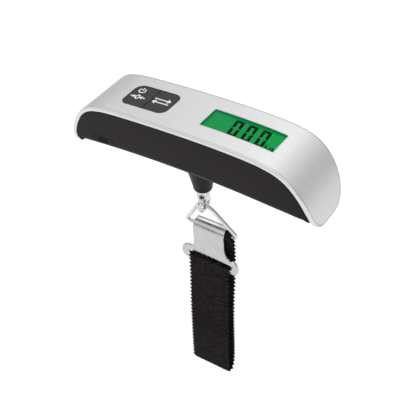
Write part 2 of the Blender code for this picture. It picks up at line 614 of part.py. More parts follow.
roll = [(BAR_Y - mid_r, BAR_Z - 3.0)] + [(BAR_Y - mid_r * math.cos(math.radians(a)),
                                         BAR_Z + mid_r * math.sin(math.radians(a))) for a in range(0, 181, 15)]
join(plate, ribbon("roll", roll, PLATE_HALF, PLATE_T, None))
cut(plate, box("cutter", -SLOT_HALF, SLOT_HALF, -5, 10, SLOT_LOW, SLOT_TOP))

# swivel and swing axes
for name, place, size in (("axis_swivel", (0, 0, -10), 20), ("axis_ring", (0, 0, RING_Z + RING_R), 6),
                          ("axis_triangle", (0, 0, APEX_Z), 6), ("axis_strap", (0, BAR_Y, BAR_Z), 6)):
    empty = bpy.data.objects.new(name, None)
    empty.location = [c * MM for c in place]
    empty.empty_display_size = size * MM
    bpy.context.scene.collection.objects.link(empty)
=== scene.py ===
"""Looks of the digital luggage scale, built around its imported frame.

Lengths below are in millimetres in the part's own frame and become metres when a mesh is made:
+X along the housing from the keys to the display, -Y the front, +Z up, origin on the hook axis."""
import math

import bmesh
import bpy
import numpy as np
from mathutils import Matrix


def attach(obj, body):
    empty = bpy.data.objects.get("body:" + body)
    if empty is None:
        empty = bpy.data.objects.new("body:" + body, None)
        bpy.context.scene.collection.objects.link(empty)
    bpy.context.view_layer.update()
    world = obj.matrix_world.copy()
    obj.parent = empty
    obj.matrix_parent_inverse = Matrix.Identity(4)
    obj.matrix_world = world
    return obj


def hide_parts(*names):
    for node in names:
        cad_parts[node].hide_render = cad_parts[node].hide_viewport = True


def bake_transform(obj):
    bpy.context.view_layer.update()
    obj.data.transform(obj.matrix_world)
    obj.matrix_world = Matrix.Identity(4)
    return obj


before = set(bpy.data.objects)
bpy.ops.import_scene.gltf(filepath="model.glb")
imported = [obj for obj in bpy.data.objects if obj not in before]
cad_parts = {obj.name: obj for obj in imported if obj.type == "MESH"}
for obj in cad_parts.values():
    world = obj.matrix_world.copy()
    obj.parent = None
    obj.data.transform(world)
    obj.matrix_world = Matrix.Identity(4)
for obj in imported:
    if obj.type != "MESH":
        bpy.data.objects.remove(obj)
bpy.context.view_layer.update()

MM = 0.001

# housing, as the part defines it
DEPTH, BAND, SEAM, RECESS, SHEET_EDGE = 34.5, 2.3, 0.2, 0.75, 1.0
FILLET, ARCH, ARCH_HALF, ARCH_X = 3.5, 3.35, 67.0, 1.0
CHIN_X, CHIN = 56.0, 1.6
TONGUE, TAIL_R = 48.0, 3.0
TOP_LINE = [(-64.6, -4.3), (-65.9, -2.9), (-66.7, -0.9), (-66.9, 1.6), (-66.3, 4.6), (-64.2, 9.8),
            (-60.6, 15.4), (-55.2, 19.6), (-48.0, 21.8), (-40.0, 22.8), (-28.0, 23.5), (-12.0, 24.1),
            (4.0, 24.4), (18.0, 24.4), (31.0, 24.0), (40.2, 23.4), (46.3, 22.55), (52.2, 21.0),
            (57.6, 18.1), (62.0, 13.9), (65.5, 8.9), (68.1, 3.3), (69.9, -2.6), (71.0, -7.6),
            (71.5, -10.6)]
LCD_X0, LCD_X1, LCD_HALF, LCD_R = 5.5, 45.3, 7.3, 0.7
PAD_X0, PAD_X1, PAD_HALF, PAD_R = -40.9, -13.9, 8.95, 4.6
LCD_TILT, LCD_MID, UPPER_PLATE = math.radians(2.73), (25.5, 20.55), 2.1
POSTS = [(-58.3, -8.5), (-58.3, 8.5), (55.2, -8.5), (55.2, 8.5)]
SWITCHES = (-34.0, -20.8)

# hook chain, as the part defines it
STUD_R = 2.5
EYE_Z, EYE_R, EYE_HALF = -27.2, 3.1, 1.7
WIRE_R, RING_R, RING_Z, APEX_Z = 1.15, 4.45, -31.15, -33.0
BAR_Y, BAR_Z = 5.5, -53.75
APEX_R, CORNER_R, LEG = 6.0, 1.8, math.radians(32)
WEB_HALF, WEB_T = 12.5, 1.4
PLATE_HALF, PLATE_T, HOOK_R, FRAME_HALF = 9.65, 1.2, 3.1, 18.0
SLOT_HALF, SLOT_TOP, SLOT_LOW, FRAME_LOW = 13.3, -71.6, -74.6, -78.0
BAR_FRONT, BAR_BACK = BAR_Y - HOOK_R - PLATE_T, BAR_Y - HOOK_R


# ================================================================ materials
def principled(name, colour, roughness, metallic=0.0, **sockets):
    """A Principled material whose uniform values sit on the shader's own sockets."""
    mat = bpy.data.materials.new(name)
    mat.use_nodes = True
    shader = mat.node_tree.nodes["Principled BSDF"]
    shader.inputs["Base Color"].default_value = (*colour, 1.0)
    shader.inputs["Roughness"].default_value = roughness
    shader.inputs["Metallic"].default_value = metallic
    for key, value in sockets.items():
        shader.inputs[key.replace("_", " ")].default_value = value
    return mat


def noise(mat, scale, detail=3.0, stretch=(1, 1, 1)):
    """Noise over object coordinates, with scale in cycles a metre and a stretch on each axis."""
    nodes, links = mat.node_tree.nodes, mat.node_tree.links
    coord = nodes.new("ShaderNodeTexCoord")
    mapping = nodes.new("ShaderNodeMapping")
    mapping.inputs["Scale"].default_value = [scale * s for s in stretch]
    texture = nodes.new("ShaderNodeTexNoise")
    texture.inputs["Scale"].default_value = 1.0
    texture.inputs["Detail"].default_value = detail
    links.new(coord.outputs["Object"], mapping.inputs["Vector"])
    links.new(mapping.outputs["Vector"], texture.inputs["Vector"])
    return texture.outputs["Fac"]


def vary(mat, source, colours=None, roughness=None, bump=None, window=(0.35, 0.65)):
    """Drive colour, roughness and bump from one texture; window is the part of its range used."""
    nodes, links = mat.node_tree.nodes, mat.node_tree.links
    shader = nodes["Principled BSDF"]
    if colours:
        ramp = nodes.new("ShaderNodeValToRGB")
        ramp.color_ramp.elements[0].position, ramp.color_ramp.elements[1].position = window
        ramp.color_ramp.elements[0].color = (*colours[0], 1)
        ramp.color_ramp.elements[1].color = (*colours[1], 1)
        links.new(source, ramp.inputs["Fac"])
        links.new(ramp.outputs["Color"], shader.inputs["Base Color"])
    if roughness:
        span = nodes.new("ShaderNodeMapRange")
        for key, value in zip(("From Min", "From Max", "To Min", "To Max"), (*window, *roughness)):
            span.inputs[key].default_value = value
        links.new(source, span.inputs["Value"])
        links.new(span.outputs["Result"], shader.inputs["Roughness"])
    if bump:
        strength, distance = bump
        node = nodes.new("ShaderNodeBump")
        node.inputs["Strength"].default_value = strength
        node.inputs["Distance"].default_value = distance * MM
        links.new(source, node.inputs["Height"])
        previous = shader.inputs["Normal"].links
        if previous:
            links.new(previous[0].from_socket, node.inputs["Normal"])
        links.new(node.outputs["Normal"], shader.inputs["Normal"])
    return mat


ALONG_X = (0.02, 1.0, 0.02)

sheet_metal = principled("brushed_sheet", (0.72, 0.73, 0.735), 0.36, 1.0)
vary(sheet_metal, noise(sheet_metal, 5200, 2, ALONG_X), ((0.625, 0.625, 0.627), (0.69, 0.69, 0.692)),
     (0.44, 0.58), (0.10, 0.02))
silver = principled("silver_paint", (0.66, 0.665, 0.67), 0.34, 0.85)
vary(silver, noise(silver, 2600, 3), ((0.62, 0.625, 0.63), (0.69, 0.695, 0.70)), (0.30, 0.40),
     (0.08, 0.01))
black = principled("black_abs", (0.0085, 0.0068, 0.0060), 0.42, Specular_IOR_Level=0.13)
vary(black, noise(black, 1500, 5), ((0.0070, 0.0055, 0.0048), (0.0110, 0.0088, 0.0080)), (0.38, 0.50),
     (0.22, 0.05))
inner_black = principled("inner_abs", (0.02, 0.02, 0.02), 0.5)
vary(inner_black, noise(inner_black, 900, 3), ((0.016, 0.016, 0.016), (0.026, 0.026, 0.026)),
     (0.45, 0.6), (0.2, 0.04))
key_plastic = principled("key_abs", (0.02, 0.021, 0.019), 0.42, Specular_IOR_Level=0.3)
vary(key_plastic, noise(key_plastic, 2200, 4), ((0.018, 0.019, 0.017), (0.026, 0.027, 0.025)),
     (0.38, 0.5), (0.18, 0.03))
key_ink = principled("key_ink", (0.88, 0.88, 0.86), 0.5)
vary(key_ink, noise(key_ink, 3500, 3), ((0.80, 0.80, 0.78), (0.92, 0.92, 0.90)), (0.45, 0.6))
lens = principled("clear_lens", (0.01, 0.04, 0.02), 0.05, Alpha=0.05, Specular_IOR_Level=0.1)
vary(lens, noise(lens, 300, 2), roughness=(0.03, 0.08))
# painted shade: a dim dark green light standing in for the shaded walls of the display window
painted_wall_shade = principled("painted_wall_shade", (0.002, 0.05, 0.015), 0.4, Specular_IOR_Level=0.1,
                       Emission_Color=(0.001, 0.16, 0.045, 1.0), Emission_Strength=1.0)
vary(painted_wall_shade, noise(painted_wall_shade, 600, 2), ((0.001, 0.04, 0.012), (0.003, 0.06, 0.02)))
guide = principled("light_guide", (0.75, 0.9, 0.78), 0.4)
vary(guide, noise(guide, 500, 2), ((0.70, 0.86, 0.74), (0.80, 0.94, 0.84)), (0.35, 0.5))
chrome = principled("bright_steel", (0.60, 0.60, 0.605), 0.13, 1.0)
vary(chrome, noise(chrome, 420, 4), ((0.54, 0.54, 0.545), (0.66, 0.66, 0.665)), (0.09, 0.18),
     (0.05, 0.02))
pressed = principled("plate_steel", (0.50, 0.50, 0.503), 0.24, 1.0)
vary(pressed, noise(pressed, 700, 5, (1, 1, 0.4)), ((0.47, 0.47, 0.473), (0.53, 0.53, 0.533)),
     (0.22, 0.30), (0.04, 0.02))
zinc = principled("screw_steel", (0.62, 0.62, 0.63), 0.3, 1.0)
vary(zinc, noise(zinc, 1800, 4), ((0.52, 0.52, 0.53), (0.68, 0.68, 0.69)), (0.25, 0.42), (0.1, 0.02))
nickel = principled("switch_steel", (0.7, 0.7, 0.71), 0.28, 1.0)
vary(nickel, noise(nickel, 2500, 3, ALONG_X), ((0.62, 0.62, 0.63), (0.74, 0.74, 0.75)), (0.24, 0.36))
alloy = principled("alloy", (0.62, 0.63, 0.65), 0.42, 1.0)
vary(alloy, noise(alloy, 3000, 3, ALONG_X), ((0.56, 0.57, 0.59), (0.68, 0.69, 0.71)), (0.36, 0.5),
     (0.1, 0.02))
brass = principled("spring_brass", (0.72, 0.55, 0.25), 0.32, 1.0)
vary(brass, noise(brass, 1500, 3), ((0.66, 0.49, 0.21), (0.76, 0.60, 0.30)), (0.26, 0.4))
board_green = principled("board", (0.02, 0.16, 0.07), 0.35)
vary(board_green, noise(board_green, 900, 2, (1, 0.15, 1)), ((0.012, 0.12, 0.05), (0.03, 0.2, 0.09)),
     (0.3, 0.45), (0.1, 0.03))
film = principled("gauge_film", (0.7, 0.42, 0.1), 0.3)
vary(film, noise(film, 3000, 2, ALONG_X), ((0.62, 0.36, 0.08), (0.76, 0.5, 0.15)), (0.25, 0.4))
resin = principled("epoxy", (0.012, 0.012, 0.012), 0.15)
vary(resin, noise(resin, 900, 2), ((0.010, 0.010, 0.010), (0.02, 0.02, 0.02)), (0.1, 0.25), (0.2, 0.05))
stripe = principled("zebra", (0.45, 0.2, 0.18), 0.7)
vary(stripe, noise(stripe, 4000, 1, (1, 0.02, 0.02)), ((0.05, 0.03, 0.03), (0.6, 0.3, 0.26)), (0.6, 0.8))


def display_material():
    """Backlit green cell, brighter and purer green towards the right end, with painted shade darkening it
    along its edges.
    """
    mat = principled("lcd_cell", (0.001, 0.03, 0.008), 0.3, Specular_IOR_Level=0.05)
    nodes, links = mat.node_tree.nodes, mat.node_tree.links
    shader = nodes["Principled BSDF"]
    coord = nodes.new("ShaderNodeTexCoord")
    split = nodes.new("ShaderNodeSeparateXYZ")
    links.new(coord.outputs["Object"], split.inputs["Vector"])

    def span(socket, lo, hi, a, b):
        node = nodes.new("ShaderNodeMapRange")
        node.interpolation_type = "SMOOTHSTEP"
        for key, value in zip(("From Min", "From Max", "To Min", "To Max"), (lo, hi, a, b)):
            node.inputs[key].default_value = value
        links.new(socket, node.inputs["Value"])
        return node.outputs["Result"]

    def times(a, b):
        node = nodes.new("ShaderNodeMath")
        node.operation = "MULTIPLY"
        links.new(a, node.inputs[0])
        links.new(b, node.inputs[1])
        return node.outputs["Value"]

    # painted shade: the cell is darkened towards each edge of the window, where its rim shades it
    left = span(split.outputs["X"], 5.5 * MM, 8.0 * MM, 0.62, 1.0)
    right = span(split.outputs["X"], 43.5 * MM, 46.0 * MM, 1.0, 0.75)
    front = span(split.outputs["Y"], -6.9 * MM, -4.8 * MM, 0.72, 1.0)
    back = span(split.outputs["Y"], 5.4 * MM, 7.2 * MM, 1.0, 0.8)
    painted_edge_shade = times(times(left, right), times(front, back))
    hue = nodes.new("ShaderNodeValToRGB")
    hue.color_ramp.elements[0].color = (0.006, 0.29, 0.072, 1)
    hue.color_ramp.elements[1].color = (0.0, 0.34, 0.062, 1)
    links.new(span(split.outputs["X"], 14 * MM, 42 * MM, 0.0, 1.0), hue.inputs["Fac"])
    tint = nodes.new("ShaderNodeMix")
    tint.data_type = "RGBA"
    # this dark green is the painted shade along the window's edges
    tint.inputs[6].default_value = (0, 0.02, 0.006, 1)
    links.new(painted_edge_shade, tint.inputs[0])
    links.new(hue.outputs["Color"], tint.inputs[7])
    links.new(tint.outputs[2], shader.inputs["Emission Color"])
    shader.inputs["Emission Strength"].default_value = 0.95
    return mat


lcd_green = display_material()
segment_ink = principled("segment_ink", (0.0005, 0.004, 0.001), 0.5, Specular_IOR_Level=0.02)
vary(segment_ink, noise(segment_ink, 1500, 2), ((0.0003, 0.003, 0.001), (0.0008, 0.006, 0.002)))
web_black = principled("webbing", (0.008, 0.0065, 0.0063), 0.72, Specular_IOR_Level=0.08,
                       Sheen_Weight=0.02, Sheen_Roughness=0.5)
vary(web_black, noise(web_black, 800, 3, (0.7, 1, 1.6)),
     ((0.001, 0.0007, 0.0007), (0.021, 0.0165, 0.016)), (0.6, 0.85), (0.5, 0.12), (0.42, 0.60))
vary(web_black, noise(web_black, 5200, 2, (0.15, 1, 1)), bump=(0.4, 0.05))
thread_black = principled("stitch_thread", (0.016, 0.013, 0.013), 0.7, Specular_IOR_Level=0.15)
vary(thread_black, noise(thread_black, 6000, 2), ((0.010, 0.008, 0.008), (0.024, 0.020, 0.020)), (0.4, 0.6),
     (0.3, 0.03))


# ================================================================ mesh tools
def solid(name, verts, faces):
    """Closed mesh object from points in millimetres, its normals turned outward."""
    mesh = bpy.data.meshes.new(name)
    mesh.from_pydata([tuple(float(c) * MM for c in v) for v in verts], [], faces)
    tidy = bmesh.new()
    tidy.from_mesh(mesh)
    bmesh.ops.remove_doubles(tidy, verts=tidy.verts, dist=1e-7)
    bmesh.ops.recalc_face_normals(tidy, faces=tidy.faces)
    tidy.to_mesh(mesh)
    tidy.free()
    obj = bpy.data.objects.new(name, mesh)
    bpy.context.scene.collection.objects.link(obj)
    return obj


def boolean(target, tool, operation):
    """Apply one exact boolean and drop its tool."""
    mod = target.modifiers.new("cut", "BOOLEAN")
    mod.operation, mod.solver, mod.object = operation, "EXACT", tool
    return bake(target, tool)


def bake(target, *tools):
    """Apply the object's modifiers and drop the tools they used."""
    depsgraph = bpy.context.evaluated_depsgraph_get()
    result = bpy.data.meshes.new_from_object(target.evaluated_get(depsgraph))
    target.modifiers.clear()
    old, target.data = target.data, result
    name = old.name
    bpy.data.meshes.remove(old)
    result.name = name
    for tool in tools:
        bpy.data.objects.remove(tool, do_unlink=True)
    clean = bmesh.new()
    clean.from_mesh(result)
    bmesh.ops.remove_doubles(clean, verts=clean.verts, dist=2e-6)
    bmesh.ops.dissolve_degenerate(clean, edges=clean.edges, dist=2e-6)
    clean.to_mesh(result)
    clean.free()
    return target


def cut(target, *tools):
    for tool in tools:
        boolean(target, tool, "DIFFERENCE")
    return target


def join(target, *tools):
    for tool in tools:
        boolean(target, tool, "UNION")
    return target


def gather(target, *others):
    """Put other closed shells into the same object."""
    together = bmesh.new()
    for obj in (target, *others):
        together.from_mesh(obj.data)
    together.to_mesh(target.data)
    together.free()
    for obj in others:
        bpy.data.objects.remove(obj, do_unlink=True)
    return target


def bevel(obj, width, segments=2, angle=35):
    """Round the edges sharper than angle."""
    mod = obj.modifiers.new("edge", "BEVEL")
    mod.width, mod.segments = width * MM, segments
    mod.limit_method, mod.angle_limit = "ANGLE", math.radians(angle)
    mod.harden_normals = False
    return bake(obj)


def finish_piece(obj, mat, body, nodes=(), angle=38):
    """Material, shading, body and the CAD nodes that the piece stands for."""
    obj.data.materials.clear()
    obj.data.materials.append(mat)
    obj.data.shade_smooth()
    obj.data.set_sharp_from_angle(angle=math.radians(angle))
    if body:
        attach(obj, body)
    if nodes:
        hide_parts(*nodes)
    return obj


def rings(loops, closed=False, cap=True):
    """Points and faces of a skin over equal loops; closed joins the last loop to the first."""
    n, count = len(loops[0]), len(loops)
    faces = []
    for i in range(count if closed else count - 1):
        a, b = i * n, ((i + 1) % count) * n
        faces += [(a + j, a + (j + 1) % n, b + (j + 1) % n, b + j) for j in range(n)]
    if cap and not closed:
        faces += [tuple(range(n))[::-1], tuple(range((count - 1) * n, count * n))]
    return [p for loop in loops for p in loop], faces


def prism(name, outline, z0, z1):
    return solid(name, *rings([[(x, y, z) for x, y in outline] for z in (z0, z1)]))


def box(name, x0, x1, y0, y1, z0, z1):
    return prism(name, [(x0, y0), (x1, y0), (x1, y1), (x0, y1)], z0, z1)


def circle(cx, cy, r, segments):
    return [(cx + r * math.cos(2 * math.pi * k / segments), cy + r * math.sin(2 * math.pi * k / segments))
            for k in range(segments)]


def cylinder(name, cx, cy, r, z0, z1, segments=40):
    return prism(name, circle(cx, cy, r, segments), z0, z1)


def through_y(name, cx, cz, r, segments=40):
    """Cylinder along Y, longer than anything it cuts."""
    return solid(name, *rings([[(cx + a, y, cz + b) for a, b in circle(0, 0, r, segments)]
                               for y in (-20, 20)]))


def lathe(name, profile, cx=0, cy=0, segments=96):
    """Turn a closed (radius, z) outline about a vertical axis."""
    verts, faces, index = [], [], []
    for r, z in profile:
        if r < 1e-9:
            index.append([len(verts)] * segments)
            verts.append((cx, cy, z))
        else:
            index.append(list(range(len(verts), len(verts) + segments)))
            verts += [(cx + x, cy + y, z) for x, y in circle(0, 0, r, segments)]
    for i in range(len(profile)):
        a, b = index[i], index[(i + 1) % len(profile)]
        for j in range(segments):
            k = (j + 1) % segments
            quad = list(dict.fromkeys((a[j], a[k], b[k], b[j])))
            if len(quad) > 2:
                faces.append(tuple(quad))
    return solid(name, verts, faces)


def rounded(x0, x1, half, r, steps=10):
    """Outline of a rectangle with round corners, centred on y = 0."""
    points = []
    for cx, cy, a in ((x1 - r, half - r, 0), (x0 + r, half - r, 90), (x0 + r, r - half, 180),
                      (x1 - r, r - half, 270)):
        for k in range(steps + 1):
            t = math.radians(a + 90 * k / steps)
            points.append((cx + r * math.cos(t), cy + r * math.sin(t)))
    return points


def catmull(points, steps):
    """Smooth curve through the points."""
    p = [np.array(q, float) for q in points]
    p = [2 * p[0] - p[1]] + p + [2 * p[-1] - p[-2]]
    out = []
    for i in range(1, len(p) - 2):
        for k in range(steps):
            t = k / steps
            out.append(0.5 * (2 * p[i] + (p[i + 1] - p[i - 1]) * t
                              + (2 * p[i - 1] - 5 * p[i] + 4 * p[i + 1] - p[i + 2]) * t * t
                              + (3 * p[i] - p[i - 1] - 3 * p[i + 1] + p[i + 2]) * t ** 3))
    out.append(p[-2])
    return np.array(out)


# ================================================================ the housing's top line
LINE = catmull(TOP_LINE, 24)
REACH = np.concatenate([[0], np.cumsum(np.linalg.norm(np.diff(LINE, axis=0), axis=1))])
RUN = np.gradient(LINE, axis=0)
RUN /= np.linalg.norm(RUN, axis=1)[:, None]
OUTWARD = np.stack([-RUN[:, 1], RUN[:, 0]], 1)
FULL = float(REACH[-1])


def at(s, offset=0.0):
    """(x, z) at arc length s along the top line, moved along its normal by offset."""
    return tuple(float(np.interp(s, REACH, LINE[:, i] + offset * OUTWARD[:, i])) for i in (0, 1))


def half_width(s, inset=0.0):
    """Half depth of the cover at arc length s: rounded left corners and a tongue at the right."""
    share = 1 - (FULL - inset - s) / (TONGUE - inset)
    width = (DEPTH / 2 - inset) * (1 - min(1.0, max(0.0, share)) ** 3) ** 0.25
    corner = TAIL_R - inset
    over = TAIL_R - s
    if over > 0:
        width -= corner - math.sqrt(max(0.0, corner ** 2 - over ** 2))
    return width


def stations(inset=0.0):
    """Arc lengths at which the cover and the tub are cut into sections."""
    tail = [TAIL_R - (TAIL_R - inset) * math.cos(math.radians(a)) for a in range(0, 90, 10)]
    body = list(np.linspace(TAIL_R, FULL - TONGUE, 150))
    nose = [FULL - inset - (TONGUE - inset) * (k / 80) ** 1.7 for k in range(79, 0, -1)]
    return tail + body + nose


def cover(name, profile):
    """Plate bent along the top line; profile lists its edge as (inset, offset), lowest first."""
    loops = []
    for inset, n in profile:
        points = [(*at(s, n), half_width(s, inset)) for s in stations(inset)]
        loops.append([(x, -w, z) for x, z, w in points] + [(x, w, z) for x, z, w in reversed(points)])
    verts, faces = rings(loops, cap=False)
    size = len(loops[0])
    for base in (0, (len(loops) - 1) * size):
        faces += [(base + j, base + j + 1, base + size - 2 - j, base + size - 1 - j)
                  for j in range(size // 2 - 1)]
    return solid(name, verts, faces)


def top_z(x, offset=0.0):
    """Height of the top line at x, moved along its normal by offset."""
    pts = LINE + offset * OUTWARD
    keep = (pts[:, 1] > 0.5) | (pts[:, 0] > 0)
    return float(np.interp(x, pts[keep, 0], pts[keep, 1]))


def under_z(x):
    """Height of the arched underside at x."""
    return -ARCH * ((x - ARCH_X) / ARCH_HALF) ** 2 - CHIN * max(0.0, (x - CHIN_X) / 12) ** 2


def shade_by_line(obj):
    """Corner normals of the outward faces taken from the top line, so cut edges leave no dents."""
    mesh = obj.data
    mesh.shade_smooth()
    mesh.set_sharp_from_angle(angle=math.radians(30))
    normals = [tuple(n.vector) for n in mesh.corner_normals]
    for face in mesh.polygons:
        if abs(face.normal.y) > 0.2:
            continue
        for loop in face.loop_indices:
            co = mesh.vertices[mesh.loops[loop].vertex_index].co
            k = int(np.argmin((LINE[:, 0] - co.x / MM) ** 2 + (LINE[:, 1] - co.z / MM) ** 2))
            line = (OUTWARD[k, 0], 0.0, OUTWARD[k, 1])
            if face.normal.x * line[0] + face.normal.z * line[2] > 0.93:
                normals[loop] = line
    mesh.normals_split_custom_set(normals)


# ================================================================ silver rim and brushed sheet
def rolled(radius, inset, n, outward=1, steps=6):
    """Quarter round of an edge profile, from the side to the face at offset n."""
    arc = [(inset + radius * (1 - math.cos(a)), n - outward * radius * (1 - math.sin(a)))
           for a in (math.radians(90 * k / steps) for k in range(steps + 1))]
    return arc if outward > 0 else arc[::-1]


def openings():
    """Cutters of the display window and the keypad."""
    return (prism("hole", rounded(LCD_X0, LCD_X1, LCD_HALF, LCD_R), 15, 40),
            prism("hole", rounded(PAD_X0, PAD_X1, PAD_HALF, PAD_R), 15, 40))


rim = cover("silver_rim", rolled(0.35, 0, -BAND, -1) + rolled(0.75, 0, 0))
cut(rim, cover("pocket", [(SHEET_EDGE - 0.2, -RECESS), (SHEET_EDGE - 0.2, 2.0)]), *openings())
gather(rim,
       *[cylinder("post", x, y, 2.6, 10.3, top_z(x + math.copysign(2.6, x), -2.0), 24)
         for x, y in POSTS],
       *[cylinder("post", -6.5, y, 2.2, 14.4, 22.0, 24) for y in (-10.0, 10.0)])
finish_piece(rim, silver, "housing", ["upper_frame"])
shade_by_line(rim)

plate_sheet = cover("brushed_face", [(SHEET_EDGE, -0.45), (SHEET_EDGE, -0.10)]
                    + rolled(0.14, SHEET_EDGE, 0.04)[1:])
cut(plate_sheet, *openings())


def opening_lip(name, outline, radius):
    """Rolled edge round an opening, half sunk in the sheet."""
    pts = np.array(outline)
    loops = []
    for k, (x, y) in enumerate(pts):
        run = pts[(k + 1) % len(pts)] - pts[k - 1]
        run /= np.linalg.norm(run)
        out = np.array([run[1], -run[0]])
        z = top_z(x)
        loops.append([(x + out[0] * radius * math.cos(a), y + out[1] * radius * math.cos(a),
                       z + radius * math.sin(a)) for a in (2 * math.pi * j / 8 for j in range(8))])
    return solid(name, *rings(loops, closed=True))


def dense(outline, step=0.8):
    """The same outline with its long sides divided."""
    out = []
    for k, a in enumerate(outline):
        b = outline[(k + 1) % len(outline)]
        n = max(1, int(math.dist(a, b) / step))
        out += [(a[0] + (b[0] - a[0]) * j / n, a[1] + (b[1] - a[1]) * j / n) for j in range(n)]
    return out


finish_piece(plate_sheet, sheet_metal, "housing", ["face_plate"])
shade_by_line(plate_sheet)
for name, outline, radius in (("display_bezel", rounded(LCD_X0, LCD_X1, LCD_HALF, LCD_R), 0.17),
                              ("keypad_bezel", rounded(PAD_X0, PAD_X1, PAD_HALF, PAD_R), 0.13)):
    finish_piece(opening_lip(name, dense(outline), radius), silver, "housing", angle=80)


# ================================================================ black tub and battery door
def tub_section(top, foot, half, side=0.0, floor=0.0, arcs=9):
    """Section of the tub from its floor at x = foot to its rim, with rounded lower edges."""
    x, high = top
    w = half - side
    low = under_z(foot) + floor
    r = max(0.4, min(FILLET - side, (high - low) * 0.45))
    arc = [math.radians(90 * k / arcs) for k in range(arcs + 1)]
    left = [(-w + r - r * math.cos(a), low + r - r * math.sin(a)) for a in arc]
    outline = [(-w, high)] + left + [(-y, z) for y, z in reversed(left)] + [(w, high)]
    return [(foot + (x - foot) * (z - low) / (high - low), y, z) for y, z in outline]


def tub_half(x):
    """Half depth of the tub at x, away from its left end."""
    marks = [s for s in stations() if s > FULL / 2]
    return float(np.interp(x, [at(s, -BAND - SEAM)[0] for s in marks], [half_width(s) for s in marks]))


def tub_shell(name, wall):
    """The tub under the cover, hollowed to a wall."""
    loops, foot = [], -63.0
    for s in stations():
        x, z = at(s, -BAND - SEAM)
        if z > under_z(x) + 0.45:
            foot = max(x, foot + 0.1)
            loops.append(tub_section((x, z), foot, half_width(s)))
    shell = solid(name, *rings(loops))
    hollow = [tub_section((x, 40.0), x, tub_half(x), wall, wall) for x in np.linspace(-60.9, 62.8, 40)]
    return cut(shell, solid("hollow", *rings(hollow)))


DOOR = [(-54.0, 13.0), (-24.0, 13.0), (-24.0, -13.0), (-41.0, -13.0), (-41.0, -20.0),
        (-53.0, -20.0), (-53.0, -13.0), (-54.0, -13.0)]
GAP = 0.25
DOOR_HOLE = [(-54.0 - GAP, 13.0 + GAP), (-24.0 + GAP, 13.0 + GAP), (-24.0 + GAP, -13.0 - GAP),
             (-41.0 + GAP, -13.0 - GAP), (-41.0 + GAP, -20.0), (-53.0 - GAP, -20.0),
             (-53.0 - GAP, -13.0 - GAP), (-54.0 - GAP, -13.0 - GAP)]
tub = tub_shell("black_tub", 2.0)
join(tub, *[cylinder("post", x, y, 2.7, under_z(x) + 0.8, 10.0, 24) for x, y in POSTS],
     box("post", 26.5, 42.5, -7.5, 7.5, -0.2, 3.1))
cut(tub, prism("hole", DOOR_HOLE, -10, 4.75), cylinder("hole", 0, 0, 3.5, -5, 5),
    *[cylinder("hole", x, y, 1.2, -10, 12, 20) for x, y in POSTS],
    *[cylinder("hole", x, y, 2.3, -10, 1.5, 28) for x, y in POSTS])
finish_piece(tub, black, "housing", ["body_shell"])

door = tub_shell("battery_door_cover", 1.7)
boolean(door, prism("keep", DOOR, -10, 4.5), "INTERSECT")
cut(door, *[box("groove", -50.2, -43.8, -20, -16.85, z, z + 0.55) for z in (1.1, 2.2, 3.3)])
finish_piece(door, black, "battery_door", ["battery_door"])

# ================================================================ keys
PAD_MID = (PAD_X0 + PAD_X1) / 2


def pillow(name, outline, low):
    """Key cap with a rolled edge whose top follows the housing's top line."""
    pts = np.array(dense(outline, 0.7))
    run = np.roll(pts, -1, 0) - np.roll(pts, 1, 0)
    run /= np.linalg.norm(run, axis=1)[:, None]
    inward = np.stack([-run[:, 1], run[:, 0]], 1)
    middle = pts.mean(0)
    loops = [[(x, y, low) for x, y in pts]]
    for inset, drop in ((0, 0.62), (0.04, 0.38), (0.14, 0.19), (0.3, 0.07), (0.55, 0.01), (0.9, 0.0)):
        loops.append([(x, y, top_z(x, -0.05) - drop) for x, y in pts + inset * inward])
    last = pts + 0.9 * inward
    for share in (0.75, 0.5, 0.25, 0.08):
        loops.append([(x, y, top_z(x, -0.05)) for x, y in middle + (last - middle) * share])
    return solid(name, *rings(loops))


def key_outline(x0, x1, r0, r1, half, steps=8):
    """Key seen from above with corner radius r0 on its left side and r1 on its right."""
    points = []
    for cx, cy, r, a in ((x1 - r1, half - r1, r1, 0), (x0 + r0, half - r0, r0, 90),
                         (x0 + r0, r0 - half, r0, 180), (x1 - r1, r1 - half, r1, 270)):
        for k in range(steps + 1):
            t = math.radians(a + 90 * k / steps)
            points.append((cx + r * math.cos(t), cy + r * math.sin(t)))
    return points


EASE = 0.22
for name, x0, x1, r0, r1, sx in (
        ("key_power", PAD_X0 + EASE, PAD_MID - 0.07, PAD_R - EASE, 0.3, SWITCHES[0]),
        ("key_unit", PAD_MID + 0.07, PAD_X1 - EASE, 0.3, PAD_R - EASE, SWITCHES[1])):
    cap = pillow(name + "_cap", key_outline(x0, x1, r0, r1, PAD_HALF - EASE), 20.02)
    near = x0 - 1.0 if name == "key_power" else x0
    far = x1 if name == "key_power" else x1 + 1.0
    gather(cap, box("flange", near, far, -9.9, 9.9, 19.2, 20.0),
           cylinder("stem", sx, 0, 2.0, 18.85, 19.18, 24))
    finish_piece(cap, key_plastic, name, [name])


def strokes(name, lines, width, surface, mat, body, height=0.03):
    """Printed marks: each open or closed line becomes a thin strip laid on a surface."""
    verts, faces = [], []
    for line in lines:
        p = np.array(line, float)
        closed = np.allclose(p[0], p[-1])
        loops = []
        for k in range(len(p)):
            a = p[k - 1] if k else (p[-2] if closed else p[0])
            b = p[k + 1] if k < len(p) - 1 else (p[1] if closed else p[-1])
            run = (b - a) / np.linalg.norm(b - a)
            out = np.array([-run[1], run[0]]) * width / 2
            corners = [p[k] - out, p[k] + out]
            loops.append([(*c, surface(*c) + h) for c, h in
                          ((corners[0], -0.06), (corners[1], -0.06), (corners[1], height),
                           (corners[0], height))])
        if closed:
            loops = loops[:-1]
        v, f = rings(loops, closed=closed)
        faces += [tuple(i + len(verts) for i in face) for face in f]
        verts += v
    return finish_piece(solid(name, verts, faces), mat, body)


